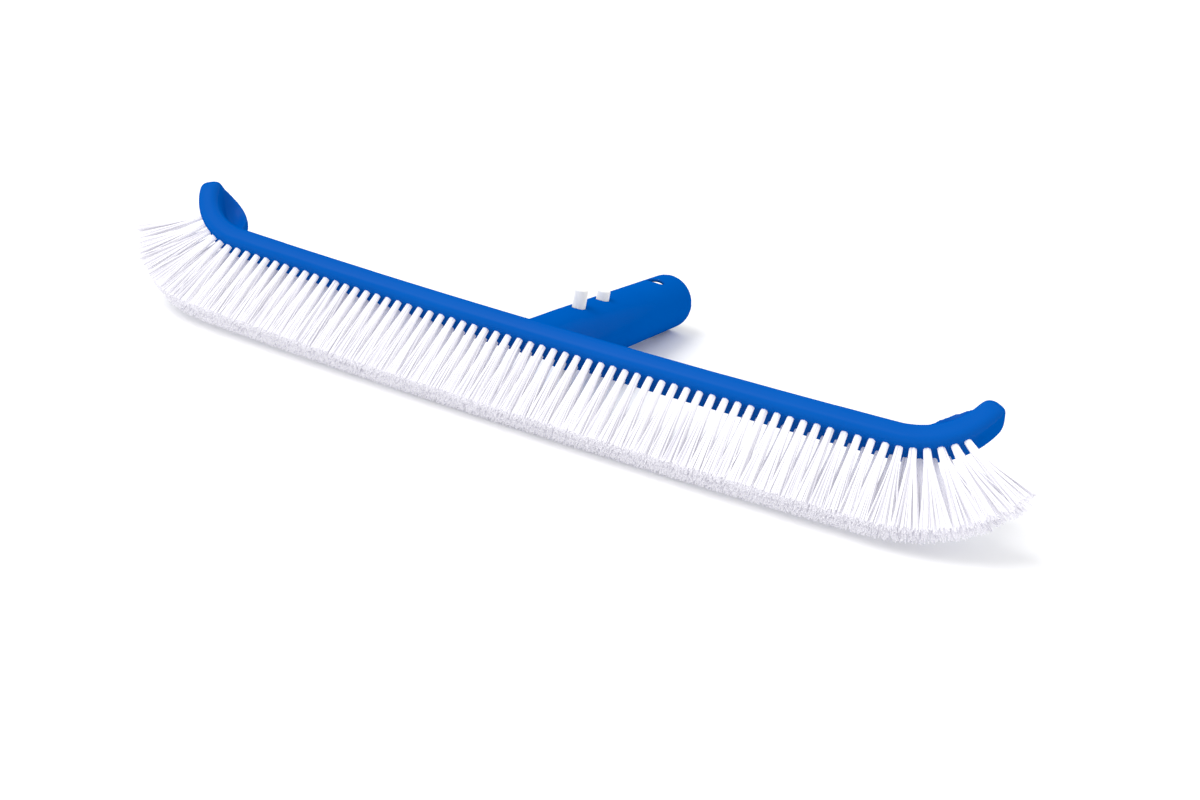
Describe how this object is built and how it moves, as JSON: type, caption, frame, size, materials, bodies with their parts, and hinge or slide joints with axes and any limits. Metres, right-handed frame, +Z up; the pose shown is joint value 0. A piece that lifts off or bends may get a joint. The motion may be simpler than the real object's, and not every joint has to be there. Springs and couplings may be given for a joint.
{
  "type": "pool wall brush",
  "caption": "Curved wall brush for swimming pools: moulded bar with curled ends, two rows of bristle tufts, tubular pole socket and sprung locking clip.",
  "frame": {"origin": "middle of the footprint, on the floor that the lower bristle tips and the mouth of the pole socket rest on", "axes": "+X along the bar, +Y from the bristles towards the mouth of the pole socket, +Z up"},
  "size_m": [0.4494, 0.1916, 0.0562],
  "materials": {
    "blue_polypropylene": "injection moulded, satin gloss",
    "white_bristle": "extruded nylon filament, trimmed level",
    "natural_acetal": "injection moulded, natural white"
  },
  "bodies": {
    "brush_head": {"moulded_body": "blue_polypropylene", "clip_bend": "natural_acetal", "upper_row_tufts_01": "white_bristle", "upper_row_tufts_02": "white_bristle", "upper_row_tufts_03": "white_bristle", "upper_row_tufts_04": "white_bristle", "upper_row_tufts_05": "white_bristle", "upper_row_tufts_06": "white_bristle", "upper_row_tufts_07": "white_bristle", "upper_row_tufts_08": "white_bristle", "upper_row_tufts_09": "white_bristle", "upper_row_tufts_10": "white_bristle", "upper_row_tufts_11": "white_bristle", "upper_row_tufts_12": "white_bristle", "upper_row_tufts_13": "white_bristle", "upper_row_tufts_14": "white_bristle", "upper_row_tufts_15": "white_bristle", "upper_row_tufts_16": "white_bristle", "upper_row_tufts_17": "white_bristle", "upper_row_tufts_18": "white_bristle", "upper_row_tufts_19": "white_bristle", "upper_row_tufts_20": "white_bristle", "upper_row_tufts_21": "white_bristle", "upper_row_tufts_22": "white_bristle", "upper_row_tufts_23": "white_bristle", "lower_row_tufts_01": "white_bristle", "lower_row_tufts_02": "white_bristle", "lower_row_tufts_03": "white_bristle", "lower_row_tufts_04": "white_bristle", "lower_row_tufts_05": "white_bristle", "lower_row_tufts_06": "white_bristle", "lower_row_tufts_07": "white_bristle", "lower_row_tufts_08": "white_bristle", "lower_row_tufts_09": "white_bristle", "lower_row_tufts_10": "white_bristle", "lower_row_tufts_11": "white_bristle", "lower_row_tufts_12": "white_bristle", "lower_row_tufts_13": "white_bristle", "lower_row_tufts_14": "white_bristle", "lower_row_tufts_15": "white_bristle", "lower_row_tufts_16": "white_bristle", "lower_row_tufts_17": "white_bristle", "lower_row_tufts_18": "white_bristle", "lower_row_tufts_19": "white_bristle", "lower_row_tufts_20": "white_bristle", "lower_row_tufts_21": "white_bristle", "lower_row_tufts_22": "white_bristle", "lower_row_tufts_23": "white_bristle"},
    "upper_arm": {"upper_clip_arm": "natural_acetal"},
    "lower_arm": {"lower_clip_arm": "natural_acetal"}
  },
  "joints": [
    {"name": "upper_arm_flex", "type": "hinge", "parent": "brush_head", "child": "upper_arm", "pos_m": [0, 0.05386, 0.0255], "axis": [1, 0, 0], "range_deg": [0, 5.2], "stiffness_Nm_per_rad": 3},
    {"name": "lower_arm_flex", "type": "hinge", "parent": "brush_head", "child": "lower_arm", "pos_m": [0, 0.05259, 0.01035], "axis": [-1, 0, 0], "range_deg": [0, 5.2], "stiffness_Nm_per_rad": 3}
  ]
}
